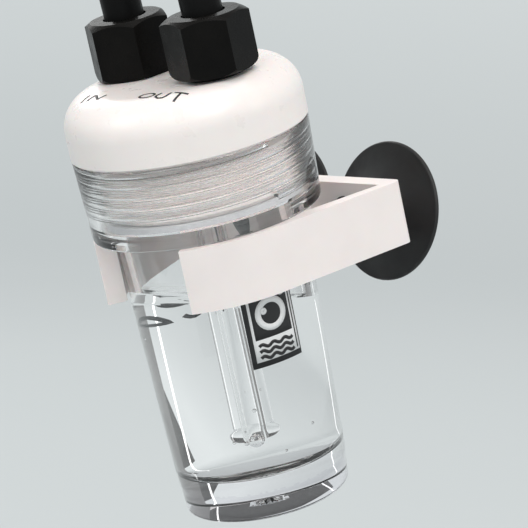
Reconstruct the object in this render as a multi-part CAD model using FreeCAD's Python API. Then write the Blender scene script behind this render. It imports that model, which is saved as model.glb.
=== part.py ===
import FreeCAD, Part
import math
import os

# Bubble counter with hose ports, held in a bracket with two suction cups.
# Millimetres. Every rigid piece of the counter is drawn in its own upright
# frame (axis +Z, foot at z = 0) and then placed on the pane: the pane is the
# plane y = 0, and the counter leans on its rubber necks with its foot near it.

V = FreeCAD.Vector

# lean of the counter on the pane
LEAN = 19.7

# chamber: clear cup with a thick base and a threaded collar
FOOT_R = 12.55
FOOT_STEP_Z = 4.4
WALL_LOW_R = 12.95
WALL_TOP_R = 14.15
FLOOR_Z = 6.3
BORE_LOW_R = 11.3
BORE_TOP_R = 12.5
COLLAR_Z = 44.2
COLLAR_TOP_Z = 56.5
COLLAR_R = 17.25
COLLAR_TOP_R = 17.7
SEAT_Z = 46.4
FEMALE_R = 15.6

# thread of the cap
PITCH = 1.5
RIDGE_WIDE = 0.6
RIDGE_NARROW = 0.3
MALE_R = 14.5
MALE_CREST = 15.25
FEMALE_CREST = 14.85

# cap
CAP_R = 17.8
CAP_Z = 56.6
CAP_SIDE_Z = 60.6
CAP_TOP_Z = 65.96
PLUG_Z = 47.45
PLUG_BORE_R = 12.2
CEILING_Z = 60.9

# gas ports and their union nuts
PORT_X = 8.7
STEM_THREAD_R = 4.1
STEM_TOP_Z = 71.0
NIPPLE_R = 1.95
NIPPLE_TOP_Z = 77.0
GAS_BORE_R = 1.1
NUT_FLATS = 11.4
NUT_TALL = 8.7
NUT_IN_Z = 66.0
NUT_OUT_Z = 66.55
NUT_IN_TURN = 28.6
NUT_OUT_TURN = 45.8
NUT_BORE_R = 4.45

# dip tube and check valve
TUBE_R = 2.25
TUBE_BORE_R = 1.25
TUBE_END_Z = 10.9
TUBE_LIP_R = 2.8
HOUSING_R = 4.8
HOUSING_BORE_R = 3.5
HOUSING_Z = 53.0
HOUSING_TOP_Z = 59.4
VALVE_DISC_R = 2.7

# bracket
PLATE_HALF = 21.4
PLATE_FRONT_Y = 17.2
PLATE_BACK_Y = 19.9
PLATE_Z = 34.5
PLATE_TOP_Z = 44.0
CLIP_OUT_R = 17.25
CLIP_IN_R = 14.3
CLIP_OPEN = 32.5

# suction cups
CUP_X = 11.3
CUP_R = 10.5
CUP_REACH = 7.5
BALL_R = 2.9
BALL_GAP = 0.05
NECK_R = 1.6
BALL_Y = (PLATE_FRONT_Y + PLATE_BACK_Y) / 2
BALL_Z = (PLATE_Z + PLATE_TOP_Z) / 2

# hoses: 6 mm outside, 4 mm inside
HOSE_R = 3.0
HOSE_BORE_R = 2.0
HOSE_LENGTH = 650.0
HOSE_FOOT_Z = 71.1
HOSE_STRAIGHT_Z = 88.0
ARCH_RUN_IN = 17.0
ARCH_RUN_OUT = 18.5
ARCH_AWAY = (-0.687, -0.727)
ARCH_SPLAY = 2.0
HANK_FOLD_R = 18.0
HANK_STRANDS = 3
HANK_STEP = 6.3
HANK_TOP_DROP = 17.0

lean = math.radians(LEAN)
PANE_Y = BALL_Y + CUP_REACH * math.cos(lean)
PANE_Z = BALL_Z - CUP_REACH * math.sin(lean)
TURN = FreeCAD.Rotation(V(1, 0, 0), LEAN)
PLACE = FreeCAD.Placement(TURN.multVec(V(0, -PANE_Y, -PANE_Z)), TURN)


def on_pane(x, y, z):
    """A point of the upright counter, in the pane's frame."""
    return PLACE.multVec(V(x, y, z))


def revolve(*steps):
    """Solid of revolution about Z from (r, z) corners; a step of two pairs is an arc."""
    edges = []
    here = V(steps[0][0], 0, steps[0][1])
    start = here
    for step in steps[1:]:
        if isinstance(step[0], tuple):
            via = V(step[0][0], 0, step[0][1])
            end = V(step[1][0], 0, step[1][1])
            edges.append(Part.Arc(here, via, end).toShape())
        else:
            end = V(step[0], 0, step[1])
            edges.append(Part.LineSegment(here, end).toShape())
        here = end
    if here.distanceToPoint(start) > 1e-6:
        edges.append(Part.LineSegment(here, start).toShape())
    return Part.Face(Part.Wire(edges)).revolve(V(0, 0, 0), V(0, 0, 1), 360)


def rod(radius, z0, z1, x=0.0, y=0.0):
    return Part.makeCylinder(radius, z1 - z0, V(x, y, z0))


def prism(points, z0, z1):
    corners = [V(x, y, z0) for x, y in points]
    return Part.Face(Part.makePolygon(corners + corners[:1])).extrude(V(0, 0, z1 - z0))


def screw_ridge(root, crest, z0, turns):
    """Helical thread ridge of the cap's pitch, from its root radius to its crest."""
    helix = Part.makeHelix(PITCH, PITCH * turns, root)
    wide = RIDGE_WIDE / 2
    narrow = RIDGE_NARROW / 2
    section = Part.makePolygon([V(root, 0, -wide), V(crest, 0, -narrow), V(crest, 0, narrow),
                                V(root, 0, wide), V(root, 0, -wide)])
    ridge = Part.Wire(helix.Edges).makePipeShell([section], True, True)
    ridge.translate(V(0, 0, z0))
    return ridge


def chamber():
    body = revolve((0, 0), (FOOT_R - 0.65, 0), ((FOOT_R - 0.19, 0.19), (FOOT_R, 0.65)),
                   (FOOT_R + 0.2, FOOT_STEP_Z - 0.1), (WALL_LOW_R, FOOT_STEP_Z + 0.1),
                   (WALL_TOP_R, COLLAR_Z), (COLLAR_R - 0.5, COLLAR_Z),
                   ((COLLAR_R - 0.15, COLLAR_Z + 0.15), (COLLAR_R, COLLAR_Z + 0.5)),
                   (COLLAR_TOP_R, COLLAR_TOP_Z - 0.3), (COLLAR_TOP_R - 0.3, COLLAR_TOP_Z),
                   (0, COLLAR_TOP_Z))
    hollow = revolve((0, FLOOR_Z), (BORE_LOW_R - 1.5, FLOOR_Z),
                     ((BORE_LOW_R - 0.44, FLOOR_Z + 0.44), (BORE_LOW_R, FLOOR_Z + 1.5)),
                     (BORE_TOP_R, SEAT_Z), (FEMALE_R - 0.4, SEAT_Z),
                     (FEMALE_R, SEAT_Z + 0.4), (FEMALE_R, COLLAR_TOP_Z + 1), (0, COLLAR_TOP_Z + 1))
    thread = screw_ridge(FEMALE_R + 0.1, FEMALE_CREST, SEAT_Z + 1.6, 5.2)
    return body.cut(hollow).fuse(thread)


def cap():
    shell = revolve((0, CAP_Z), (CAP_R - 0.25, CAP_Z), (CAP_R, CAP_Z + 0.25), (CAP_R, CAP_SIDE_Z),
                    ((CAP_R - 1.3, CAP_SIDE_Z + 3.55), (CAP_R - 5.29, CAP_TOP_Z)), (0, CAP_TOP_Z))
    plug = revolve((0, PLUG_Z), (MALE_R - 0.6, PLUG_Z), (MALE_R, PLUG_Z + 0.6),
                   (MALE_R, CAP_Z + 0.5), (0, CAP_Z + 0.5))
    thread = screw_ridge(MALE_R - 0.1, MALE_CREST, SEAT_Z + 1.6 + PITCH / 2, 4.8)
    body = shell.fuse(plug).fuse(thread)
    body = body.cut(rod(PLUG_BORE_R, PLUG_Z - 1, CEILING_Z))
    boss = rod(6.4, HOUSING_TOP_Z - 3.0, CEILING_Z + 0.2)
    socket = rod(HOUSING_R + 0.02, HOUSING_TOP_Z - 3.5, HOUSING_TOP_Z + 1.2)
    body = body.fuse(boss).cut(socket)
    gallery = Part.makeCylinder(0.8, PORT_X, V(-PORT_X, 0, 62.9), V(1, 0, 0))
    drop = rod(1.1, HOUSING_TOP_Z, 63.2)
    feed = rod(1.1, 62.5, 65.0, -PORT_X)
    vent = rod(1.1, CEILING_Z - 1, 65.0, PORT_X)
    body = body.cut(gallery).cut(drop).cut(feed).cut(vent)
    for x in (-PORT_X, PORT_X):
        body = body.cut(rod(3.0, 64.4, CAP_TOP_Z + 1, x))
    return body


def cap_seal():
    washer = rod(FEMALE_CREST - 0.15, SEAT_Z + 0.02, PLUG_Z - 0.05)
    return washer.cut(rod(BORE_TOP_R + 0.1, SEAT_Z, PLUG_Z))


def stem(x):
    body = revolve((0, 64.4), (3.0, 64.4), (3.0, CAP_TOP_Z + 0.02), (STEM_THREAD_R, CAP_TOP_Z + 0.02),
                   (STEM_THREAD_R, STEM_TOP_Z - 0.4), (STEM_THREAD_R - 0.4, STEM_TOP_Z),
                   (NIPPLE_R, STEM_TOP_Z), (NIPPLE_R, NIPPLE_TOP_Z - 0.8),
                   (NIPPLE_R - 0.4, NIPPLE_TOP_Z), (0, NIPPLE_TOP_Z))
    body = body.cut(rod(GAS_BORE_R, 64.0, NIPPLE_TOP_Z + 1))
    body.translate(V(x, 0, 0))
    return body


def ferrule(x):
    ring = revolve((HOSE_R + 0.1, 71.2), (4.15, 71.2), (4.15, 72.4), (3.7, 73.3), (HOSE_R + 0.1, 73.3))
    ring.translate(V(x, 0, 0))
    return ring


def union_nut(x, z0, turn):
    """Hexagon nut with its foot at z0; it stands a little higher where it is less tight."""
    top = z0 + NUT_TALL
    corner = NUT_FLATS / 2 / math.cos(math.pi / 6)
    hexagon = [(corner * math.cos(math.radians(60 * i + turn)),
                corner * math.sin(math.radians(60 * i + turn))) for i in range(6)]
    envelope = revolve((0, z0), (corner - 0.98, z0),
                       ((corner - 0.38, z0 + 0.32), (corner + 0.02, z0 + 1.1)),
                       (corner + 0.02, top - 0.8), (corner - 1.3, top), (0, top))
    body = prism(hexagon, z0, top).common(envelope)
    body = body.cut(rod(NUT_BORE_R, z0 - 1, 73.4)).cut(rod(HOSE_R + 0.25, 73.0, top + 1))
    for z in (68.0, 69.2, 70.4):
        body = body.fuse(rod(NUT_BORE_R + 0.1, z, z + 0.5).cut(rod(STEM_THREAD_R + 0.12, z - 1, z + 2)))
    body.translate(V(x, 0, 0))
    return body


def dip_tube():
    body = revolve((0, TUBE_END_Z), (TUBE_LIP_R - 0.9, TUBE_END_Z),
                   ((TUBE_LIP_R - 0.26, TUBE_END_Z + 0.26), (TUBE_LIP_R, TUBE_END_Z + 0.9)),
                   ((TUBE_LIP_R - 0.15, TUBE_END_Z + 1.35), (TUBE_R, TUBE_END_Z + 1.8)),
                   (TUBE_R, HOUSING_Z - 2.0), (HOUSING_R, HOUSING_Z), (HOUSING_R, HOUSING_TOP_Z),
                   (0, HOUSING_TOP_Z))
    bore = revolve((0, TUBE_END_Z - 1), (TUBE_BORE_R, TUBE_END_Z - 1),
                   (TUBE_BORE_R, HOUSING_Z + 1.2), (HOUSING_BORE_R, HOUSING_Z + 1.2),
                   (HOUSING_BORE_R, HOUSING_TOP_Z + 1), (0, HOUSING_TOP_Z + 1))
    return body.cut(bore)


def valve_seat():
    plate = rod(HOUSING_R, HOUSING_TOP_Z + 0.02, HOUSING_TOP_Z + 1.18)
    return plate.cut(rod(1.0, HOUSING_TOP_Z - 1, HOUSING_TOP_Z + 3))


def valve_disc():
    disc = revolve((0, HOUSING_TOP_Z - 1.3), (VALVE_DISC_R, HOUSING_TOP_Z - 1.3),
                   (VALVE_DISC_R, HOUSING_TOP_Z - 0.3), (VALVE_DISC_R - 0.25, HOUSING_TOP_Z - 0.03),
                   (0, HOUSING_TOP_Z - 0.03))
    return disc


def valve_spring():
    z0 = HOUSING_Z + 1.45
    height = HOUSING_TOP_Z - 1.55 - z0
    helix = Part.makeHelix(height / 4, height, 2.0)
    wire = Part.makePolygon([V(1.8, 0, -0.2), V(2.2, 0, -0.2), V(2.2, 0, 0.2), V(1.8, 0, 0.2),
                             V(1.8, 0, -0.2)])
    coil = Part.Wire(helix.Edges).makePipeShell([wire], True, True)
    coil.translate(V(0, 0, z0))
    return coil


def tangent_outline(half, y, radius):
    """Corner, then the tangent point from it on a circle about the axis."""
    far = math.hypot(half, y)
    angle = math.atan2(y, half) - math.acos(radius / far)
    return radius * math.cos(angle), radius * math.sin(angle)


def bracket():
    ox, oy = tangent_outline(PLATE_HALF, PLATE_BACK_Y, CLIP_OUT_R)
    outline = [(-PLATE_HALF, PLATE_BACK_Y), (PLATE_HALF, PLATE_BACK_Y), (ox, oy), (-ox, oy)]
    body = prism(outline, PLATE_Z, PLATE_TOP_Z).fuse(rod(CLIP_OUT_R, PLATE_Z, PLATE_TOP_Z))
    body = body.removeSplitter()
    ix, iy = tangent_outline(PLATE_HALF - 2.2, PLATE_FRONT_Y, CLIP_IN_R)
    window = [(-PLATE_HALF + 2.2, PLATE_FRONT_Y), (PLATE_HALF - 2.2, PLATE_FRONT_Y),
              (ix, iy), (-ix, iy)]
    body = body.cut(prism(window, PLATE_Z - 1, PLATE_TOP_Z + 1))
    saddle = [(-3.2, 12.0), (3.2, 12.0), (3.9, PLATE_FRONT_Y + 0.2), (-3.9, PLATE_FRONT_Y + 0.2)]
    body = body.fuse(prism(saddle, PLATE_Z, PLATE_TOP_Z))
    body = body.cut(rod(CLIP_IN_R, PLATE_Z - 1, PLATE_TOP_Z + 1))
    reach = 40.0
    half = reach * math.tan(math.radians(CLIP_OPEN))
    body = body.cut(prism([(0, 0), (-half, -reach), (half, -reach)], PLATE_Z - 1, PLATE_TOP_Z + 1))
    for x in (-CUP_X, CUP_X):
        body = body.cut(Part.makeSphere(BALL_R + BALL_GAP, V(x, BALL_Y, BALL_Z)))
    corners = [e for e in body.Edges
               if e.Length > 9 and abs(abs(e.CenterOfMass.x) - PLATE_HALF) < 0.05
               and abs(e.CenterOfMass.y - PLATE_BACK_Y) < 0.05]
    return body.makeFillet(1.0, corners)


def suction_cup(x):
    """Cup against the pane, in the pane's frame: axis Y, rim at y = 0."""
    ball_h = CUP_REACH
    meet = math.sqrt(BALL_R ** 2 - NECK_R ** 2)
    skin = revolve((CUP_R - 1.0, 0), (CUP_R, 0), ((CUP_R + 0.02, 0.25), (CUP_R - 0.25, 0.5)),
                   ((7.6, 1.05), (4.9, 2.15)), ((3.9, 2.75), (3.5, 3.6)), (3.3, 4.1), (2.7, 4.35),
                   (NECK_R, 4.6), (NECK_R, ball_h - meet), ((BALL_R, ball_h), (0, ball_h + BALL_R)),
                   (0, 2.1), ((5.4, 1.15), (CUP_R - 1.0, 0)))
    skin.rotate(V(0, 0, 0), V(1, 0, 0), 90)
    skin.translate(V(x, 0, 0))
    return skin


def hose_points(side):
    """Route of one hose from its nipple to the top of its hank, with its hank's frame."""
    away = V(ARCH_AWAY[0], ARCH_AWAY[1], 0)
    splay = FreeCAD.Rotation(V(0, 0, 1), side * ARCH_SPLAY)
    away = splay.multVec(away)
    points = [on_pane(side * PORT_X, 0, HOSE_FOOT_Z), on_pane(side * PORT_X, 0, HOSE_STRAIGHT_Z)]
    run = ARCH_RUN_OUT if side > 0 else ARCH_RUN_IN
    for angle in (30, 60, 90, 120, 150, 172):
        step = V(0, 0, math.cos(math.radians(angle))) + away * math.sin(math.radians(angle))
        points.append(points[-1] + step * run)
    points.append(points[-1] + V(0, 0, -HANK_TOP_DROP))
    return points, away


def routed_tube(points, radius):
    """Straight runs joined by tangent arcs; returns the solid, its length and its arc radii."""
    edges = []
    radii = []
    here = points[0]
    for a, b, c in zip(points, points[1:], points[2:]):
        run = min((b - a).Length, (c - b).Length)
        back = (a - b).normalize()
        ahead = (c - b).normalize()
        half = (math.pi - back.getAngle(ahead)) / 2
        cut = 0.45 * run
        arc_r = cut / math.tan(half)
        radii.append(arc_r)
        bisector = (back + ahead).normalize()
        middle = b + bisector * (arc_r / math.cos(half) - arc_r)
        edges.append(Part.LineSegment(here, b + back * cut).toShape())
        edges.append(Part.Arc(b + back * cut, middle, b + ahead * cut).toShape())
        here = b + ahead * cut
    edges.append(Part.LineSegment(here, points[-1]).toShape())
    path = Part.Wire(edges)
    ring = Part.Wire(Part.Circle(points[0], points[1] - points[0], radius).toShape())
    return path.makePipeShell([ring], True, False), path.Length, radii


def stadium(radius, straight, thick):
    """Racetrack slab in the XZ plane, top fold centred at z = 0, thickness along Y."""
    top = Part.makeCylinder(radius, thick, V(0, -thick / 2, 0), V(0, 1, 0))
    low = Part.makeCylinder(radius, thick, V(0, -thick / 2, -straight), V(0, 1, 0))
    slab = Part.makeBox(2 * radius, thick, straight, V(-radius, -thick / 2, -straight))
    return top.fuse(low).fuse(slab).removeSplitter()


def hose(side):
    """One hose's free stretch, the solid of its hank, and the tie round the hank's leg."""
    points, away = hose_points(side)
    tube, length, radii = routed_tube(points, HOSE_R)
    print("hose", side, "free length %.1f" % length, "tightest bend %.1f" % min(radii))
    socket = rod(HOSE_BORE_R, HOSE_FOOT_Z - 1, NIPPLE_TOP_Z + 0.2, side * PORT_X)
    socket.Placement = PLACE.multiply(socket.Placement)
    tube = tube.cut(socket)
    thick = HANK_STRANDS * HANK_STEP
    folds = 2 * (HANK_STRANDS - 1)
    straight = (HOSE_LENGTH - length - folds * math.pi * HANK_FOLD_R) / (folds + 1)
    print("hank legs %.1f" % straight, "folds", folds)
    ring = stadium(HANK_FOLD_R + HOSE_R, straight, thick)
    ring = ring.cut(stadium(HANK_FOLD_R - HOSE_R, straight, thick + 2))
    band = Part.makeBox(2 * HOSE_R + 2.4, thick + 2.4, 7.0,
                        V(HANK_FOLD_R - HOSE_R - 1.2, -thick / 2 - 1.2, -straight / 2 - 3.5))
    band = band.cut(Part.makeBox(2 * HOSE_R + 0.04, thick + 0.04, 9.0,
                                 V(HANK_FOLD_R - HOSE_R - 0.02, -thick / 2 - 0.02, -straight / 2 - 4.5)))
    swing = math.degrees(math.atan2(away.y, away.x))
    entry = points[-1]
    # the hose enters down the hank's far leg, on the side that faces the other hank
    spot = FreeCAD.Placement(entry, FreeCAD.Rotation(V(0, 0, 1), swing))
    shift = FreeCAD.Placement(V(-HANK_FOLD_R, side * (thick / 2 - HANK_STEP / 2), 0), FreeCAD.Rotation())
    for solid in (ring, band):
        solid.Placement = spot.multiply(shift).multiply(solid.Placement)
    return tube.cut(ring), ring, band


os.makedirs("parts", exist_ok=True)
nodes = {
    "chamber": chamber(),
    "cap": cap(),
    "cap_seal": cap_seal(),
    "dip_tube": dip_tube(),
    "valve_seat": valve_seat(),
    "valve_disc": valve_disc(),
    "valve_spring": valve_spring(),
    "port_stem_in": stem(-PORT_X),
    "port_stem_out": stem(PORT_X),
    "ferrule_in": ferrule(-PORT_X),
    "ferrule_out": ferrule(PORT_X),
    "union_nut_in": union_nut(-PORT_X, NUT_IN_Z, NUT_IN_TURN),
    "union_nut_out": union_nut(PORT_X, NUT_OUT_Z, NUT_OUT_TURN),
    "bracket": bracket(),
}
for shape in nodes.values():
    shape.Placement = PLACE.multiply(shape.Placement)
nodes["suction_cup_left"] = suction_cup(-CUP_X)
nodes["suction_cup_right"] = suction_cup(CUP_X)
for side, name in ((-1, "in"), (1, "out")):
    tube, ring, band = hose(side)
    nodes["hose_" + name] = tube
    nodes["hose_hank_" + name] = ring
    nodes["hank_tie_" + name] = band

for name, shape in nodes.items():
    if shape.ShapeType == "Compound" and len(shape.Solids) == 1:
        shape = shape.Solids[0]
    box = shape.BoundBox
    print(name, "valid", shape.isValid(), "solids", len(shape.Solids), "volume %.1f" % shape.Volume,
          "box", [round(v, 2) for v in (box.XMin, box.YMin, box.ZMin, box.XMax, box.YMax, box.ZMax)])
    shape.exportStep("parts/" + name + ".step")
print("pane point", round(PANE_Y, 3), round(PANE_Z, 3))
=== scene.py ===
import bmesh
import bpy
import math
from mathutils import Matrix, Vector


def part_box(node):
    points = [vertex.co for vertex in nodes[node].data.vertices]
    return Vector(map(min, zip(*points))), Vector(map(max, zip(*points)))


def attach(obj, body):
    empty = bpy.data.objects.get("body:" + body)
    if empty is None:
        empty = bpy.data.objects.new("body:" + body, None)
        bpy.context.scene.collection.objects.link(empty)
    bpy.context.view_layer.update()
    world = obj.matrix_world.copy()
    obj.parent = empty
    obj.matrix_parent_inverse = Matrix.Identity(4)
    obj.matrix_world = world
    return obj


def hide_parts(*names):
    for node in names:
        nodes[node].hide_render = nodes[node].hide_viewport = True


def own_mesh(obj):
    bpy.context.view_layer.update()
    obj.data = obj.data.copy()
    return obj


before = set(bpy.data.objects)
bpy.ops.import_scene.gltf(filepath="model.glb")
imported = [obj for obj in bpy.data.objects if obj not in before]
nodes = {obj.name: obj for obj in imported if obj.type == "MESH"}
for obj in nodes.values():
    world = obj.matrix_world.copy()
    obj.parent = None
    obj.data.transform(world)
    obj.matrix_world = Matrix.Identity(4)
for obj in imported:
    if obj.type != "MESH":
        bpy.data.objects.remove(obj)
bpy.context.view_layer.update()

# The looks of a bubble counter held on a pane by two suction cups.
# Pieces of the counter are drawn in its own upright frame, in millimetres,
# axis +Z and foot at z = 0, and COUNTER then puts them on the pane in metres.

scene = bpy.context.scene

LEAN = math.radians(19.7)
TO_ORIGIN = Matrix.Translation((0, -25.611, -36.722))
COUNTER = Matrix.Scale(0.001, 4) @ Matrix.Rotation(LEAN, 4, "X") @ TO_ORIGIN

# the counter, in its own millimetres
PORT_X = 8.7
WALL_FOOT_R, WALL_TOP_R, WALL_FOOT_Z, WALL_TOP_Z = 12.95, 14.15, 4.4, 44.2
BORE_FOOT_R, BORE_TOP_R, FLOOR_Z, SEAT_Z = 11.3, 12.5, 6.3, 46.4
TUBE_R, TUBE_BORE_R, TUBE_END_Z, TUBE_LIP_R = 2.25, 1.25, 10.9, 2.8
FEMALE_R, FEMALE_CREST, PITCH, TURNS = 15.6, 14.85, 1.5, 5
RIDGE_WIDE, RIDGE_NARROW = 0.6, 0.3
CAP_TOP_Z, SHOULDER_R, SHOULDER_START_R = 65.96, 5.287, 12.51
AROUND = 180  # corners in each of the chamber's rings

# the frame, in metres
WATER_Z = -0.0130
BENCH_Z = -0.085
HOSE_R = 0.003
HANK_FOLD_R = 0.018
HANK_STEP = 0.0063
HANG_WAY = Vector((-0.687, -0.727, 0))
HANG_SPREAD = 2.0
SIDES = {"in": -1, "out": 1}


def on_pane(x, y, z):
    """A point of the upright counter, in the frame and in metres."""
    return COUNTER @ Vector((x, y, z))


# ---------------------------------------------------------------- camera

def add_camera():
    """The photograph's camera, solved from the outlines of the counter."""
    camera = bpy.data.cameras.new("camera")
    camera.lens = 196.76
    camera.sensor_width = 36
    camera.clip_start = 0.02
    camera.clip_end = 20
    holder = bpy.data.objects.new("camera", camera)
    scene.collection.objects.link(holder)
    right = Vector((0.68445, 0.72768, 0.04479))
    up = Vector((-0.06149, -0.00359, 0.99810))
    back = Vector((0.72646, -0.68590, 0.04229))
    turn = Matrix((right, up, back)).transposed().to_4x4()
    holder.matrix_world = Matrix.Translation((0.316097, -0.313094, 0.009580)) @ turn
    scene.camera = holder


add_camera()


# ---------------------------------------------------------------- materials

class Nodes:
    """A material's node tree, written as short calls."""

    def __init__(self, name):
        self.material = bpy.data.materials.new(name)
        self.material.use_nodes = True
        self.tree = self.material.node_tree
        self.tree.nodes.clear()
        self.output = self.tree.nodes.new("ShaderNodeOutputMaterial")

    def add(self, kind, settings=None, **sockets):
        node = self.tree.nodes.new("ShaderNode" + kind)
        for name, value in (settings or {}).items():
            setattr(node, name, value)
        for name, value in sockets.items():
            self.put(node, name.replace("_", " "), value)
        return node

    def put(self, node, socket, value):
        if isinstance(value, bpy.types.NodeSocket):
            self.tree.links.new(value, node.inputs[socket])
        else:
            node.inputs[socket].default_value = value

    def noise(self, scale, detail=3.0):
        where = self.add("TexCoord").outputs["Object"]
        return self.add("TexNoise", Vector=where, Scale=scale, Detail=detail, Roughness=0.5)

    def ranged(self, noise, low, high):
        """A noise's middle part, stretched from low to high."""
        node = self.add("MapRange", From_Min=0.3, From_Max=0.7, To_Min=low, To_Max=high)
        self.put(node, "Value", noise.outputs["Fac"])
        return node.outputs["Result"]

    def blend(self, share, first, second):
        node = self.add("Mix", {"data_type": "RGBA"})
        self.put(node, 0, share)
        node.inputs[6].default_value = (*first, 1)
        node.inputs[7].default_value = (*second, 1)
        return node.outputs[2]

    def finish(self, shader):
        self.tree.links.new(shader.outputs[0], self.output.inputs["Surface"])
        return self.material


def moulded(name, colour, shade, rough, grain, depth, extra=None):
    """Moulded plastic or rubber: faint colour drift, uneven gloss and a fine skin.

    The gloss lies between the two values of rough; the skin has a grain size and a depth.
    """
    m = Nodes(name)
    drift = m.noise(160, 4)
    skin = m.noise(grain, 2)
    bump = m.add("Bump", Height=skin.outputs["Fac"], Strength=1.0, Distance=depth)
    shader = m.add("BsdfPrincipled", Normal=bump.outputs[0])
    m.put(shader, "Base Color", m.blend(m.ranged(drift, 0, 1), colour, shade))
    m.put(shader, "Roughness", m.ranged(m.noise(420, 5), *rough))
    for socket, value in (extra or {}).items():
        m.put(shader, socket, value)
    return m.finish(shader)


def clear(name, ior, tint=(1, 1, 1), rough=0.0):
    """Clear plastic or liquid that lets lamps through to what it holds."""
    m = Nodes(name)
    shader = m.add("BsdfPrincipled", Base_Color=(*tint, 1), Roughness=rough, IOR=ior)
    m.put(shader, "Transmission Weight", 1.0)
    lets = m.add("BsdfTransparent", Color=(*[0.5 + 0.5 * c for c in tint], 1))
    path = m.add("LightPath")
    mix = m.add("MixShader")
    m.put(mix, 0, path.outputs["Is Shadow Ray"])
    m.put(mix, 1, shader.outputs[0])
    m.put(mix, 2, lets.outputs[0])
    return m.finish(mix)


def nothing(name):
    """A face that is only there to close the liquid's mesh against a wet wall."""
    m = Nodes(name)
    return m.finish(m.add("BsdfTransparent", Color=(1, 1, 1, 1)))


# refractive indices, and their ratio where the plastic meets the liquid
PLASTIC, LIQUID = 1.49, 1.333
WET = PLASTIC / LIQUID

MILKY = {"Subsurface Weight": 0.12, "Subsurface Scale": 0.0012}
DULL = {"Specular IOR Level": 0.07}

white_cap = moulded("white_cap", (0.87, 0.815, 0.79), (0.85, 0.79, 0.765), (0.26, 0.34),
                    1400, 1.5e-6, MILKY)
white_bracket = moulded("white_bracket", (0.88, 0.81, 0.79), (0.85, 0.78, 0.76), (0.38, 0.5),
                        2600, 6e-6, MILKY)
black_nut = moulded("black_nut", (0.003, 0.003, 0.003), (0.006, 0.0055, 0.005), (0.22, 0.36),
                    1800, 1.0e-5, DULL)
black_stem = moulded("black_stem", (0.004, 0.004, 0.004), (0.007, 0.007, 0.007), (0.3, 0.45),
                     1800, 8e-6, DULL)
grey_ferrule = moulded("grey_ferrule", (0.35, 0.35, 0.35), (0.4, 0.4, 0.4), (0.4, 0.5),
                       1800, 6e-6)
black_rubber = moulded("black_rubber", (0.004, 0.004, 0.0045), (0.007, 0.007, 0.0075),
                       (0.4, 0.55), 900, 1.6e-5, {"Specular IOR Level": 0.5})
seal_rubber = moulded("seal_rubber", (0.66, 0.67, 0.69), (0.6, 0.61, 0.63), (0.45, 0.6),
                      900, 8e-6)
valve_plastic = moulded("valve_plastic", (0.55, 0.56, 0.57), (0.6, 0.6, 0.6), (0.3, 0.4),
                        1800, 4e-6)
valve_rubber = moulded("valve_rubber", (0.03, 0.03, 0.03), (0.04, 0.04, 0.04), (0.5, 0.6),
                       900, 6e-6)
spring_steel = moulded("spring_steel", (0.55, 0.55, 0.56), (0.48, 0.48, 0.5), (0.22, 0.32),
                       3000, 2e-6, {"Metallic": 1.0})
hose_black = moulded("hose_black", (0.004, 0.004, 0.004), (0.007, 0.007, 0.007), (0.3, 0.42),
                     700, 1.2e-5, DULL)
tie_grey = moulded("tie_grey", (0.16, 0.165, 0.17), (0.2, 0.2, 0.2), (0.6, 0.75), 1500, 3e-5)
print_black = moulded("print_black", (0.008, 0.008, 0.009), (0.013, 0.013, 0.014),
                      (0.4, 0.5), 3000, 2e-6)
print_grey = moulded("print_grey", (0.045, 0.05, 0.055), (0.06, 0.065, 0.07),
                     (0.4, 0.5), 3000, 2e-6)
print_white = moulded("print_white", (0.80, 0.80, 0.80), (0.74, 0.74, 0.74),
                      (0.4, 0.5), 3000, 2e-6)
clear_dry = clear("clear_dry", PLASTIC)
clear_wet = clear("clear_wet", WET)
clear_thread = clear("clear_thread", PLASTIC, rough=0.13)
# painted shade: the foot's clear plastic is tinted a little grey so that it reads darker
clear_foot = clear("clear_foot", PLASTIC, (0.86, 0.85, 0.88))
tube_dry = clear("tube_dry", PLASTIC)
tube_wet = clear("tube_wet", WET)
water = clear("water", LIQUID)
water_side = nothing("water_side")
bubble_air = clear("bubble_air", 1 / LIQUID)
pocket = clear("pocket", 1 / PLASTIC)

for node, material in {
        "cap": white_cap, "bracket": white_bracket, "union_nut_in": black_nut,
        "union_nut_out": black_nut, "port_stem_in": black_stem, "port_stem_out": black_stem,
        "ferrule_in": grey_ferrule, "ferrule_out": grey_ferrule,
        "suction_cup_left": black_rubber, "suction_cup_right": black_rubber,
        "cap_seal": seal_rubber, "valve_seat": valve_plastic, "valve_disc": valve_rubber,
        "valve_spring": spring_steel}.items():
    nodes[node].material_slots[0].material = material

for name in ("union_nut_in", "union_nut_out"):
    worn = nodes[name].modifiers.new("worn_edges", "BEVEL")
    worn.width = 0.00016
    worn.segments = 2
    worn.limit_method = "ANGLE"
    worn.angle_limit = math.radians(25)
    worn.harden_normals = True


# ---------------------------------------------------------------- helpers

def new_piece(name, mesh, body, materials):
    """A piece that rides on a body, from a mesh that is already in the frame."""
    piece = bpy.data.objects.new(name, mesh)
    scene.collection.objects.link(piece)
    slots = [face.material_index for face in mesh.polygons]
    mesh.materials.clear()
    for material in materials:
        mesh.materials.append(material)
    mesh.polygons.foreach_set("material_index", slots)
    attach(piece, body)
    return piece


def mesh_of(name, shape, upright=True, smooth=40):
    """A bmesh as a mesh; an upright one is in the counter's own millimetres."""
    mesh = bpy.data.meshes.new(name)
    shape.to_mesh(mesh)
    shape.free()
    if upright:
        mesh.transform(COUNTER)
    mesh.polygons.foreach_set("use_smooth", [True] * len(mesh.polygons))
    mesh.set_sharp_from_angle(angle=math.radians(smooth))
    return mesh


def arc(centre, radius, first, last, steps):
    """Corners (r, z) along an arc; angles in degrees from +r."""
    turns = [math.radians(first + (last - first) * k / steps) for k in range(steps + 1)]
    return [(centre[0] + radius * math.cos(a), centre[1] + radius * math.sin(a)) for a in turns]


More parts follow.
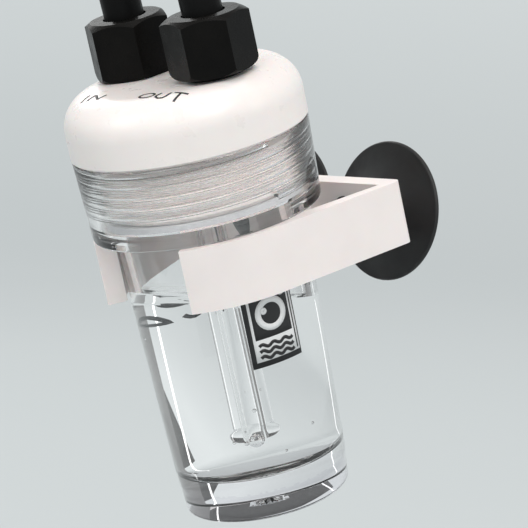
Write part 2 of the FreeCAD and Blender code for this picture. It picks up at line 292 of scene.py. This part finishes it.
def ring_of(shape, radius, height, around=AROUND):
    """A level ring of corners round the axis."""
    return [shape.verts.new((radius * math.cos(2 * math.pi * k / around),
                             radius * math.sin(2 * math.pi * k / around), height))
            for k in range(around)]


def join(shape, ring, following):
    """A closed band of faces between two rings."""
    for k in range(len(ring)):
        j = (k + 1) % len(ring)
        shape.faces.new((ring[k], ring[j], following[j], following[k]))


def lathe(shape, profile, around=AROUND):
    """Rings through (r, z) corners, each joined to the one before."""
    rings = [ring_of(shape, r, z, around) for r, z in profile]
    for ring, following in zip(rings, rings[1:]):
        join(shape, ring, following)
    return rings


def weave(shape, rows, slot=0):
    """Faces between the corners of a grid."""
    for lower, upper in zip(rows, rows[1:]):
        for i in range(len(lower) - 1):
            face = shape.faces.new((lower[i], lower[i + 1], upper[i + 1], upper[i]))
            face.material_index = slot


# ---------------------------------------------------------------- hoses

def hang_way(side):
    """The way a hose leans out from its port, away from the pane."""
    return Matrix.Rotation(math.radians(HANG_SPREAD * side), 3, "Z") @ HANG_WAY


def hose_points(side):
    """Control points of one hose from its nipple, over its arch and round its hank."""
    nipple_z, straight_z = 71.1, 88.0
    run, leg = (0.0185, 0.0562) if side > 0 else (0.0170, 0.0579)
    drop = 0.017
    folds, corners = 4, 6
    step = 180 / corners

    away = hang_way(side)
    aside = Vector((-away.y, away.x, 0)).normalized() * side
    across = away.normalized()
    points = [on_pane(side * PORT_X, 0, nipple_z), on_pane(side * PORT_X, 0, straight_z)]
    for angle in (30, 60, 90, 120, 150, 172):
        tip = math.radians(angle)
        points.append(points[-1] + (Vector((0, 0, math.cos(tip))) + away * math.sin(tip)) * run)
    points.append(points[-1] - Vector((0, 0, drop)))
    entry = points[-1]
    # corners that stand off the fold, so that the curve itself has the fold's radius
    reach = HANK_FOLD_R / math.cos(math.radians(step / 2))
    lead = 2 * reach * math.sin(math.radians(step / 2))
    for fold in range(folds):
        bottom = fold % 2 == 0
        centre = entry - across * HANK_FOLD_R - Vector((0, 0, leg if bottom else 0))
        first = 0 if bottom else 180
        ring = []
        for k in range(corners):
            a = math.radians(first - step / 2 - step * k)
            drift = aside * HANK_STEP * (fold + (k + 0.5) / corners) / 2
            ring.append(centre + across * reach * math.cos(a)
                        + Vector((0, 0, reach * math.sin(a))) + drift)
        along = Vector((0, 0, lead if bottom else -lead))
        points.append(ring[0] + along)
        points.extend(ring)
        points.append(ring[-1] + along)
    tail = points[-1].copy()
    tail.z = entry.z - leg
    points.append(tail)
    return points


def add_hose(side_name):
    """One hose in a single run, from its nipple to the end of its hank."""
    points = hose_points(SIDES[side_name])
    curve = bpy.data.curves.new("hose_" + side_name, "CURVE")
    curve.dimensions = "3D"
    spline = curve.splines.new("NURBS")
    spline.points.add(len(points) - 1)
    for point, place in zip(spline.points, points):
        point.co = (*place, 1)
    spline.order_u = 3
    spline.use_endpoint_u = True
    spline.resolution_u = 8
    curve.bevel_depth = HOSE_R
    curve.bevel_resolution = 6
    curve.use_fill_caps = True
    piece = bpy.data.objects.new("hose_line_" + side_name, curve)
    scene.collection.objects.link(piece)
    curve.materials.append(hose_black)
    # the hank lies outside the photograph, so it isn't mirrored in the clear parts
    piece.visible_glossy = False
    piece.visible_transmission = False
    piece.visible_diffuse = False
    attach(piece, "cap")
    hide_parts("hose_" + side_name, "hose_hank_" + side_name)
    return piece


def add_tie(side_name):
    """A rubber band round the three strands of a hank's far leg."""
    low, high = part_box("hank_tie_" + side_name)
    middle = (low + high) / 2
    across = hang_way(SIDES[side_name]).normalized()
    aside = Vector((-across.y, across.x, 0))
    shape = bmesh.new()
    rings = []
    around, inner_r, strand_step = 48, 3.05, 6.3
    # (rise off the strands, height), in millimetres
    profile = [(0.0, -3.2), (0.45, -3.45), (0.95, -3.2), (1.05, -2.2), (1.0, 0.0),
               (1.05, 2.2), (0.95, 3.2), (0.45, 3.45), (0.0, 3.2), (0.02, 0.0)]
    for k in range(around):
        turn = 2 * math.pi * k / around
        shift = strand_step if math.sin(turn) > 0 else -strand_step
        rings.append([shape.verts.new(
            middle + (across * math.cos(turn) * (inner_r + rise)
                      + aside * (shift + math.sin(turn) * (inner_r + rise))
                      + Vector((0, 0, height))) * 0.001) for rise, height in profile])
    for ring, following in zip(rings, rings[1:] + rings[:1]):
        join(shape, following, ring)
    bmesh.ops.recalc_face_normals(shape, faces=shape.faces)
    band = new_piece("tie_band_" + side_name, mesh_of("tie", shape, upright=False), "cap",
                     [tie_grey])
    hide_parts("hank_tie_" + side_name)
    band.visible_glossy = False
    band.visible_transmission = False
    return band


for side_name, side in SIDES.items():
    line = add_hose(side_name)
    band = add_tie(side_name)


# ---------------------------------------------------------------- clear parts

def female_thread(shape, top, foot):
    """Helical ridge on a wall between the rings at its top and foot."""
    middle, clearance, inset = PITCH / 2, 1.6, 0.2
    start = SEAT_Z + clearance - middle

    def line(height, deep=0.12, half=0.08):
        return [(FEMALE_R, height - half), (FEMALE_R - deep, height), (FEMALE_R, height + half)]

    # the ridge, between two fine lines left by the mould
    section = [(FEMALE_R, 0.0), *line(inset), (FEMALE_R, middle - RIDGE_WIDE / 2),
               (FEMALE_CREST, middle - RIDGE_NARROW / 2), (FEMALE_CREST, middle + RIDGE_NARROW / 2),
               (FEMALE_R, middle + RIDGE_WIDE / 2), *line(PITCH - inset), (FEMALE_R, PITCH)]
    last = len(section) - 1
    total = AROUND * TURNS
    grid = {}
    for step in range(total + 1):
        a = 2 * math.pi * step / AROUND
        for k, (radius, rise) in enumerate(section):
            if k == 0 and step >= AROUND:
                grid[step, 0] = grid[step - AROUND, last]
            else:
                place = (radius * math.cos(a), radius * math.sin(a),
                         start + PITCH * step / AROUND + rise)
                grid[step, k] = shape.verts.new(place)
    for step in range(total):
        for k in range(last):
            shape.faces.new((grid[step, k], grid[step + 1, k], grid[step + 1, k + 1],
                             grid[step, k + 1]))
    shape.faces.new([grid[0, k] for k in range(last + 1)])
    shape.faces.new([grid[total, k] for k in range(last + 1)])
    for k in range(AROUND):
        j = (k + 1) % AROUND
        low = [foot[k], foot[j], grid[k + 1, 0], grid[k, 0]]
        if j == 0:
            low.insert(2, grid[0, 0])
        shape.faces.new(low)
        step = total - AROUND + k
        high = [grid[step, last], grid[step + 1, last], top[j], top[k]]
        if k == 0:
            high.insert(0, grid[total, last])
        shape.faces.new(high)


def chamber_mesh():
    """The clear cup: foot, wall and collar outside, bore and thread inside."""
    shape = bmesh.new()
    foot_edge, collar_edge, seat_edge, bore_edge = 0.65, 0.5, 0.4, 1.5
    foot_r, step_r, collar_r, rim_r, rim_z = 12.55, 12.75, 17.25, 17.7, 56.5
    outside = lathe(shape, [*arc((foot_r - foot_edge, foot_edge), foot_edge, 270, 360, 5),
                            (step_r, WALL_FOOT_Z - 0.15), (WALL_FOOT_R, WALL_FOOT_Z + 0.15),
                            (WALL_TOP_R, WALL_TOP_Z), (collar_r - collar_edge, WALL_TOP_Z),
                            *arc((collar_r - collar_edge, WALL_TOP_Z + collar_edge), collar_edge,
                                 300, 360, 3),
                            (rim_r, rim_z - 0.3), (rim_r - 0.1, rim_z - 0.1),
                            (rim_r - 0.3, rim_z), (FEMALE_R, rim_z)])
    inside = lathe(shape, [(FEMALE_R, SEAT_Z + seat_edge), (FEMALE_R - seat_edge, SEAT_Z),
                           (BORE_TOP_R, SEAT_Z),
                           *arc((BORE_FOOT_R - bore_edge, FLOOR_Z + bore_edge), bore_edge,
                                0, -90, 7)])
    shape.faces.new(outside[0])
    shape.faces.new(inside[-1])
    female_thread(shape, outside[-1], inside[0])
    return shape


def tube_mesh():
    """The dip tube with its flared end and the valve's housing on top."""
    shape = bmesh.new()
    housing_z, top_z, housing_r, well_r = 53.0, 59.4, 4.8, 3.5
    well_z = housing_z + 1.2
    lip_edge = 0.9
    rings = lathe(shape, [(TUBE_BORE_R, TUBE_END_Z), (TUBE_LIP_R - lip_edge, TUBE_END_Z),
                          *arc((TUBE_LIP_R - lip_edge, TUBE_END_Z + lip_edge), lip_edge,
                               288, 385, 7),
                          (TUBE_R + 0.14, TUBE_END_Z + 1.6), (TUBE_R, TUBE_END_Z + 1.8),
                          (TUBE_R, housing_z - 2), (housing_r, housing_z), (housing_r, top_z),
                          (well_r, top_z), (well_r, well_z), (TUBE_BORE_R, well_z)], 96)
    join(shape, rings[-1], rings[0])
    return shape


def clear_piece(name, shape, node, body, materials, wet_inside):
    """A clear part cut at the liquid's level, its faces dry, wet, threaded or foot."""
    shape.transform(COUNTER)
    bmesh.ops.recalc_face_normals(shape, faces=shape.faces)
    bmesh.ops.bisect_plane(shape, geom=shape.verts[:] + shape.edges[:] + shape.faces[:],
                           plane_co=(0, 0, WATER_Z), plane_no=(0, 0, 1), dist=1e-7)
    home = COUNTER.inverted()
    for face in shape.faces:
        centre = face.calc_center_median()
        place = home @ centre
        inside = wet_inside(place, (home.to_3x3() @ face.normal).normalized())
        face.material_index = 1 if centre.z < WATER_Z and inside else 0
        if len(materials) > 2:
            if threaded(place):
                face.material_index = 2
            elif place.z < WALL_FOOT_Z:
                face.material_index = 3
    piece = new_piece(name, mesh_of(name, shape, upright=False, smooth=32), body, materials)
    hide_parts(node)


def threaded(place):
    """Whether a face of the chamber belongs to its thread."""
    radius = math.hypot(place.x, place.y)
    return FEMALE_CREST - 0.1 < radius < FEMALE_R + 0.01 and place.z > SEAT_Z + 0.6


def in_cavity(place, facing):
    """Whether a face of the chamber bounds its bore."""
    radius = math.hypot(place.x, place.y)
    turned_in = facing.x * place.x + facing.y * place.y < 0
    turned_up = facing.z > 0.7
    return place.z > FLOOR_Z - 0.3 and radius < BORE_TOP_R + 0.1 and (turned_up or turned_in)


def round_tube(place, facing):
    """Whether a face of the tube bounds its outside: the gas in its bore keeps that dry."""
    return math.hypot(place.x, place.y) > TUBE_BORE_R + 0.35


clear_piece("chamber_shell", chamber_mesh(), "chamber", "chamber",
            [clear_dry, clear_wet, clear_thread, clear_foot], in_cavity)
clear_piece("dip_tube_clear", tube_mesh(), "dip_tube", "cap", [tube_dry, tube_wet],
            round_tube)


# ---------------------------------------------------------------- valve spring

def add_spring():
    """Round-wire spring under the valve's disc."""
    shape = bmesh.new()
    foot, tall, coil_r, wire_r, coils = 54.45, 3.4, 2.0, 0.2, 4
    steps, around = 36 * coils, 10
    corners = [2 * math.pi * k / around for k in range(around)]
    rings = []
    for step in range(steps + 1):
        a = 2 * math.pi * coils * step / steps
        out = Vector((math.cos(a), math.sin(a), 0))
        centre = out * coil_r + Vector((0, 0, foot + tall * step / steps))
        rings.append([shape.verts.new(centre + out * wire_r * math.cos(corner)
                                      + Vector((0, 0, wire_r * math.sin(corner))))
                      for corner in corners])
    for ring, following in zip(rings, rings[1:]):
        join(shape, ring, following)
    shape.faces.new(rings[0])
    shape.faces.new(rings[-1])
    bmesh.ops.recalc_face_normals(shape, faces=shape.faces)
    coil = new_piece("spring_coil", mesh_of("spring_coil", shape, smooth=60), "cap",
                     [spring_steel])
    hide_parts("valve_spring")
    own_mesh(coil)


add_spring()


# ---------------------------------------------------------------- liquid

def level_z(x, y):
    """Height of the level in the counter's own frame, above its point (x, y)."""
    flat = on_pane(x, y, 0)
    rise = on_pane(x, y, 1) - flat
    return (WATER_Z - flat.z) / rise.z


def add_liquid():
    """The liquid, level in the leaning chamber and drawn up at its wall and tube."""
    shape = bmesh.new()
    around, gap, corner, level_middle = 96, 0.02, 0.6, 31

    def ring(radius, height):
        made = []
        for k in range(around):
            a = 2 * math.pi * k / around
            x, y = radius * math.cos(a), radius * math.sin(a)
            made.append(shape.verts.new((x, y, height(x, y))))
        return made

    def above_level(radius, rise):
        return ring(radius, lambda x, y: level_z(x, y) + rise)

    share = (level_middle - FLOOR_Z) / (SEAT_Z - FLOOR_Z)
    top_r = BORE_FOOT_R + (BORE_TOP_R - BORE_FOOT_R) * share - gap
    floor = ring(BORE_FOOT_R - corner, lambda x, y: FLOOR_Z + gap)
    low = ring(BORE_FOOT_R - gap, lambda x, y: FLOOR_Z + corner)
    edge = above_level(top_r, 0.55)
    inner = [above_level(top_r - step, rise) for step, rise in (
        (0.25, 0.26), (0.7, 0.09), (1.4, 0.02), (3.0, 0.0), (6.0, 0.0))]
    hole = above_level(TUBE_R + 0.5, 0.04)
    rim = above_level(TUBE_R + gap, 0.4)
    loops = [floor, low, edge, *inner, hole, rim]
    for a, b in zip(loops, loops[1:]):
        for k in range(around):
            j = (k + 1) % around
            face = shape.faces.new((a[k], a[j], b[j], b[k]))
            # slot 1 is for the faces that lie against the plastic
            face.material_index = 1 if b is low or b is edge else 0
    tube_low = ring(TUBE_R + gap, lambda x, y: TUBE_END_Z)
    for k in range(around):
        j = (k + 1) % around
        shape.faces.new((rim[k], rim[j], tube_low[j], tube_low[k])).material_index = 1
    shape.faces.new(tube_low).material_index = 1
    shape.faces.new(list(reversed(floor))).material_index = 1
    bmesh.ops.recalc_face_normals(shape, faces=shape.faces)
    new_piece("liquid", mesh_of("liquid", shape), "chamber", [water, water_side])


add_liquid()


# ---------------------------------------------------------------- prints

LAYER = 0.03  # a print stands this far off its surface, and so does each layer on it
LABEL_TURN, MARKS_TURN = 75.0, 243.0
LETTER_WIDTH = 0.36


def on_wall(centre, lift):
    """Place a print's (u, v) on the chamber's outside, u round it from an angle off -Y."""
    def place(u, v):
        share = (v - WALL_FOOT_Z) / (WALL_TOP_Z - WALL_FOOT_Z)
        radius = WALL_FOOT_R + (WALL_TOP_R - WALL_FOOT_R) * share + lift
        a = math.radians(centre) + u / radius
        return radius * math.sin(a), -radius * math.cos(a), v
    return place


def on_shoulder(x0, y0, turn, lift):
    """Place a print's (u, v) on the cap's round shoulder, from a corner on its top view."""
    along = math.radians(turn)

    def place(u, v):
        x = x0 + u * math.cos(along) - v * math.sin(along)
        y = y0 + u * math.sin(along) + v * math.cos(along)
        radius = math.hypot(x, y)
        out = max(0.0, radius - SHOULDER_START_R)
        height = CAP_TOP_Z - SHOULDER_R + math.sqrt(max(0.0, SHOULDER_R ** 2 - out ** 2))
        return x, y, height + lift
    return place


def patch(shape, place, low, high, columns=12, slot=0):
    """A filled rectangle of a print."""
    rows = 4
    weave(shape, [[shape.verts.new(place(low[0] + (high[0] - low[0]) * i / columns,
                                         low[1] + (high[1] - low[1]) * j / rows))
                   for i in range(columns + 1)] for j in range(rows + 1)], slot)


def stroke(shape, place, corners, width, slot=0, closed=False):
    """A line of even width through its corners, in short steps so it hugs the surface."""
    path = []
    ends = corners[1:] + (corners[:1] if closed else [])
    for (ax, ay), (bx, by) in zip(corners, ends):
        steps = max(1, round(math.hypot(bx - ax, by - ay) / 0.35))
        path += [(ax + (bx - ax) * k / steps, ay + (by - ay) * k / steps) for k in range(steps)]
    if not closed:
        path.append(corners[-1])
    sides = []
    for k, (x, y) in enumerate(path):
        # the line's direction here, from the corner before to the one after
        before = path[k - 1] if k or closed else path[0]
        after = path[(k + 1) % len(path)] if k + 1 < len(path) or closed else path[-1]
        dx, dy = after[0] - before[0], after[1] - before[1]
        size = math.hypot(dx, dy) or 1.0
        nx, ny = -dy / size * width / 2, dx / size * width / 2
        sides.append((shape.verts.new(place(x + nx, y + ny)),
                      shape.verts.new(place(x - nx, y - ny))))
    for (a, b), (c, d) in zip(sides, sides[1:] + (sides[:1] if closed else [])):
        shape.faces.new((a, b, d, c)).material_index = slot


def oval(cx, cy, rx, ry, steps=28):
    """Corners of an ellipse."""
    turns = [2 * math.pi * k / steps for k in range(steps)]
    return [(cx + rx * math.cos(a), cy + ry * math.sin(a)) for a in turns]


def waves(left, right, height, swing, count):
    """Corners of a wavy line."""
    steps = 10 * count
    return [(left + (right - left) * k / steps,
             height + swing * math.sin(2 * math.pi * count * k / steps)) for k in range(steps + 1)]


def add_print(name, build, body, materials):
    """A printed film; build draws it into an empty mesh."""
    shape = bmesh.new()
    build(shape)
    piece = new_piece(name, mesh_of(name, shape), body, materials)
    film = piece.modifiers.new("film", "SOLIDIFY")
    film.thickness = 2e-5
    film.offset = 0


def label(shape):
    """Framed pictogram of rising bubbles over waves."""
    back, front, top, glyph = (on_wall(LABEL_TURN, LAYER * n) for n in (1, 2, 3, 4))
    patch(shape, back, (-4.2, 23.4), (4.2, 36.0))
    patch(shape, front, (-3.45, 24.25), (4.0, 36.0), slot=1)
    patch(shape, top, (-3.05, 27.6), (3.2, 36.0))
    patch(shape, top, (3.5, 24.6), (3.7, 36.0), columns=1)
    stroke(shape, glyph, oval(0.1, 31.1, 2.1, 2.1), 0.95, 1, True)
    stroke(shape, glyph, oval(-1.05, 31.7, 0.28, 0.28), 0.5, 1, True)
    stroke(shape, glyph, oval(2.35, 33.9, 0.45, 0.45), 0.5, 1, True)
    for height in (26.6, 25.7, 24.8):
        stroke(shape, top, waves(-2.7, 3.0, height, 0.22, 3), 0.5)


def level_marks(shape):
    """Ring, wave, triangle and dash printed on the far wall."""
    place = on_wall(MARKS_TURN, LAYER)
    stroke(shape, place, oval(0.6, 30.9, 1.25, 0.75), 0.5, 0, True)
    stroke(shape, place, [(-1.9, 31.1), (-1.2, 30.9)], 0.4)
    stroke(shape, place, waves(-2.3, 0.3, 28.5, 0.45, 1), 0.5)
    stroke(shape, place, [(1.3, 27.9), (2.4, 29.1), (3.5, 27.9)], 0.45, 0, True)


def port_names(shape):
    """The words in front of the two ports: one takes the gas in, the other lets it out."""
    word_in = on_shoulder(-6.5, -13.25, 8, LAYER)
    stroke(shape, word_in, [(0, 0), (0, 2.1)], LETTER_WIDTH)
    stroke(shape, word_in, [(1.3, 0), (1.3, 2.1)], LETTER_WIDTH)
    stroke(shape, word_in, [(1.3, 2.1), (3.3, 0)], LETTER_WIDTH)
    stroke(shape, word_in, [(3.3, 0), (3.3, 2.1)], LETTER_WIDTH)
    word_out = on_shoulder(4.1, -11.9, 10, LAYER)
    stroke(shape, word_out, oval(1.3, 1.2, 1.15, 1.05), LETTER_WIDTH, 0, True)
    stroke(shape, word_out, [(3.2, 2.25), (3.2, 0.9), (3.5, 0.35), (4.1, 0.12), (4.7, 0.35),
                             (5.0, 0.9), (5.0, 2.25)], LETTER_WIDTH)
    stroke(shape, word_out, [(5.6, 2.2), (8.0, 2.2)], LETTER_WIDTH)
    stroke(shape, word_out, [(6.8, 2.2), (6.8, 0.05)], LETTER_WIDTH)


add_print("label", label, "chamber", [print_black, print_white])
add_print("level_marks", level_marks, "chamber", [print_grey])
add_print("port_names", port_names, "cap", [print_black])


def add_gate_mark():
    """Short hollow ribs fanned out in the clear foot, where the cup was moulded."""
    shape = bmesh.new()
    ribs, low_z, high_z, near = 7, 1.0, 1.9, 0.9

    def corners(rib, a, narrow, z):
        return [shape.verts.new((r * math.cos(a) - narrow * t * math.sin(a),
                                 r * math.sin(a) + narrow * t * math.cos(a), z)) for r, t in rib]

    for k in range(ribs):
        a = math.radians(-78 + 12 * k)
        far = 3.9 - 0.25 * abs(k - ribs // 2)
        rib = [(near, -0.2), (near, 0.2), (far, 0.42), (far, -0.42)]
        low = corners(rib, a, 1.0, low_z)
        high = corners(rib, a, 0.4, high_z)
        shape.faces.new(low)
        shape.faces.new(high)
        join(shape, low, high)
    bmesh.ops.recalc_face_normals(shape, faces=shape.faces)
    new_piece("gate_mark", mesh_of("gate_mark", shape, smooth=20), "chamber", [pocket])


add_gate_mark()


# ---------------------------------------------------------------- bubbles and drops

def add_beads(name, places, body, material, flat=1.0):
    """Small round bubbles or drops at (x, y, z, radius) in the counter's frame."""
    shape = bmesh.new()
    for x, y, z, radius in places:
        made = bmesh.ops.create_icosphere(shape, subdivisions=3, radius=radius)
        bmesh.ops.scale(shape, vec=(1, 1, flat), verts=made["verts"])
        bmesh.ops.translate(shape, vec=(x, y, z), verts=made["verts"])
    new_piece(name, mesh_of(name, shape, smooth=80), body, [material])


add_beads("bubbles_at_tube",
          [(1.2, -2.6, 10.9, 0.35), (2.1, -2.2, 11.6, 0.28), (-0.4, -3.0, 11.2, 0.24),
           (2.6, -1.6, 15.6, 0.3), (0.1, -0.1, 10.6, 0.95)], "chamber", bubble_air)
add_beads("bubbles_at_wall",
          [(10.4, 1.5, 12.0, 0.22), (9.9, -3.5, 9.6, 0.2), (-6.2, -9.2, 28.4, 0.22),
           (7.5, -8.0, 14.0, 0.16), (-9.0, 6.2, 16.0, 0.2)], "chamber", bubble_air)
add_beads("drops_in_collar",
          [(-8.9, -14.1, 45.9, 0.5), (-5.7, -15.5, 45.9, 0.36),
           (-2.3, -16.3, 44.9, 0.22), (-1.6, -16.4, 44.95, 0.18)], "chamber", pocket, 0.6)


# ---------------------------------------------------------------- stage

def add_stage():
    """A pale round floor that bends up into a wall; it glows instead of being lit, a little
    brighter higher up: painted light.
    """
    shape = bmesh.new()
    profile = [(0.6, 0.0), (1.2, 0.0), (1.6, 0.0)]
    bend = 12
    for k in range(1, bend + 1):
        a = math.pi / 2 * k / bend
        profile.append((1.6 + math.sin(a), 1 - math.cos(a)))
    profile += [(2.6, 1.6), (2.6, 2.4)]
    rings = [ring_of(shape, radius, height + BENCH_Z, 64) for radius, height in profile]
    shape.faces.new(rings[0])
    for ring, outer in zip(rings, rings[1:]):
        join(shape, outer, ring)
    bmesh.ops.recalc_face_normals(shape, faces=shape.faces)
    mesh = mesh_of("floor", shape, upright=False, smooth=60)
    floor = bpy.data.objects.new("floor", mesh)
    scene.collection.objects.link(floor)
    m = Nodes("pale_floor")
    shader = m.add("BsdfPrincipled", Roughness=0.9)
    drift = m.ranged(m.noise(1.5, 2), 0, 1)
    m.put(shader, "Base Color", m.blend(drift, (0.22, 0.235, 0.235), (0.20, 0.22, 0.22)))
    place = m.add("SeparateXYZ")
    m.put(place, 0, m.add("TexCoord").outputs["Object"])
    height = m.add("MapRange", From_Min=BENCH_Z, From_Max=0.5)
    m.put(height, "Value", place.outputs["Z"])
    # painted light: the floor's glow grows with height, so the wall glows brighter than the floor
    m.put(shader, "Emission Color", m.blend(height.outputs[0], (0.35, 0.37, 0.377),
                                            (0.60, 0.625, 0.63)))
    m.put(shader, "Emission Strength", 1.0)
    mesh.materials.append(m.finish(shader))


def add_lamp(name, place, aim, size, power, colour=(1, 1, 1)):
    """A soft rectangular lamp that the clear parts don't show."""
    lamp = bpy.data.lights.new(name, "AREA")
    lamp.shape = "RECTANGLE"
    lamp.size, lamp.size_y = size
    lamp.energy = power
    lamp.color = colour
    holder = bpy.data.objects.new(name, lamp)
    scene.collection.objects.link(holder)
    holder.location = place
    holder.rotation_euler = (Vector(aim) - Vector(place)).to_track_quat("-Z", "Y").to_euler()
    holder.visible_transmission = False


def add_world():
    world = bpy.data.worlds.new("soft_studio")
    scene.world = world
    world.use_nodes = True
    sky = world.node_tree.nodes["Background"].inputs
    sky["Color"].default_value = (1.0, 0.98, 0.96, 1)
    sky["Strength"].default_value = 0.7


def add_card(name, centre, facing, width, height, grey, glow):
    """A card out of the camera's sight, that only the clear parts bend into view; its grey and glow
    paint shade and light into them.
    """
    shape = bmesh.new()
    cells, bow = 6, 0.004
    weave(shape, [[shape.verts.new((width * (i / cells - 0.5), bow * math.sin(i + j),
                                    height * (j / cells - 0.5)))
                   for i in range(cells + 1)] for j in range(cells + 1)])
    mesh = mesh_of(name, shape, upright=False)
    card = bpy.data.objects.new(name, mesh)
    scene.collection.objects.link(card)
    card.location = centre
    card.rotation_euler = Vector(facing).to_track_quat("-Y", "Z").to_euler()
    m = Nodes(name)
    drift = m.ranged(m.noise(30), 0, 1)
    shader = m.add("BsdfPrincipled", Roughness=0.9)
    m.put(shader, "Base Color", m.blend(drift, (grey,) * 3, (grey * 1.2,) * 3))
    m.put(shader, "Emission Color", (1, 1, 1, 1))
    m.put(shader, "Emission Strength", glow)
    mesh.materials.append(m.finish(shader))
    card.visible_camera = False
    card.visible_shadow = False
    card.visible_diffuse = False
    card.visible_glossy = False


add_stage()
add_world()
ON_CAP, ON_NUTS = (0, -0.02, 0), (0, -0.03, 0)
add_lamp("key", (0.9, -0.45, 0.8), ON_CAP, (0.55, 0.55), 5.7, (1.0, 0.955, 0.935))
add_lamp("fill", (-0.35, -0.95, 0.5), ON_CAP, (0.5, 0.7), 3, (1.0, 0.98, 0.97))
add_lamp("top", (0.1, -0.15, 1.0), ON_CAP, (0.25, 0.25), 1.6, (1.0, 0.98, 0.97))
add_lamp("side", (-0.8, 0.25, 0.6), ON_CAP, (0.4, 0.4), 1.6, (1.0, 0.97, 0.95))
add_lamp("glint_left", (0.33, -0.78, 0.42), ON_NUTS, (0.05, 0.22), 0.3)
add_lamp("glint_right", (0.75, 0.32, 0.33), ON_NUTS, (0.05, 0.22), 0.3)

# dark cards paint shade into the clear parts' edges; thin glowing strips paint white lamp lines
# into them
add_card("flag_right", (0.02, 0.28, 0.02), (0, -1, 0), 0.20, 0.7, 0.05, 0.15)
add_card("strip_right", (-0.115, 0.25, 0.02), (0.3, -1, 0), 0.007, 0.7, 0.8, 0.9)
add_card("strip_left", (-0.27, -0.02, 0.0), (1, -0.1, 0), 0.006, 0.7, 0.8, 0.9)
add_card("flag_high", (-0.36, 0.25, 0.27), (0.7, -0.5, -0.4), 0.9, 0.28, 0.04, 0.05)

scene.view_settings.view_transform = "Standard"
scene.cycles.transmission_bounces = 20
scene.cycles.max_bounces = 24
scene.cycles.transparent_max_bounces = 24
